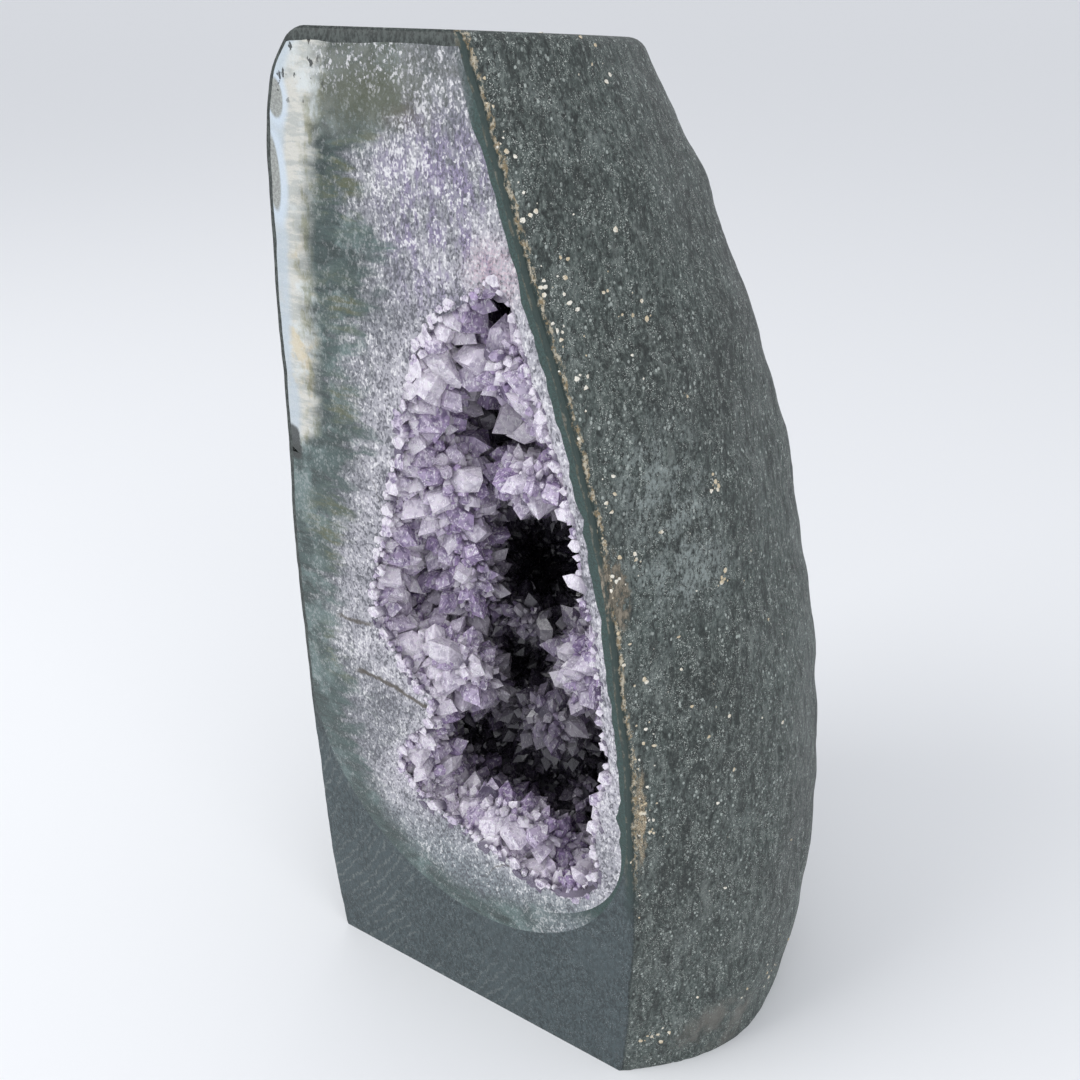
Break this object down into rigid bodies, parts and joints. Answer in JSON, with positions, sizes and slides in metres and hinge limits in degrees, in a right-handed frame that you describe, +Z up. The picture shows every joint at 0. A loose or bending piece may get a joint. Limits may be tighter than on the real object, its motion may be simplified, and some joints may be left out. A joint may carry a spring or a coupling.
{
  "type": "amethyst geode",
  "caption": "Tall cut geode that stands on its sawn base: dark host rock, banded agate and quartz round a hollow lined with amethyst crystals.",
  "frame": {"origin": "middle of the stone's length and depth, on the flat sawn base that it stands on", "axes": "+Z up the height of the stone; -Y out of the cut face with the crystals; +X to the right as seen from in front of that face"},
  "size_m": [0.205, 0.153, 0.382],
  "materials": {
    "basalt": "matte, fine grained, weathered",
    "agate": "polished cut face, teal green",
    "chalcedony": "polished cut face, milky white",
    "quartz": "sugary, polished on the cut face",
    "amethyst": "glassy, slightly translucent"
  },
  "bodies": {
    "root": {"basalt_shell": "basalt", "agate_rind": "agate", "chalcedony_band": "chalcedony", "quartz_lining": "quartz", "amethyst_cluster_01": "amethyst", "amethyst_cluster_02": "amethyst", "amethyst_cluster_03": "amethyst", "amethyst_cluster_04": "amethyst", "amethyst_cluster_05": "amethyst", "amethyst_cluster_06": "amethyst", "amethyst_cluster_07": "amethyst", "amethyst_cluster_08": "amethyst", "amethyst_cluster_09": "amethyst", "amethyst_cluster_10": "amethyst", "amethyst_cluster_11": "amethyst", "amethyst_cluster_12": "amethyst", "amethyst_cluster_13": "amethyst", "amethyst_cluster_14": "amethyst"}
  },
  "joints": []
}
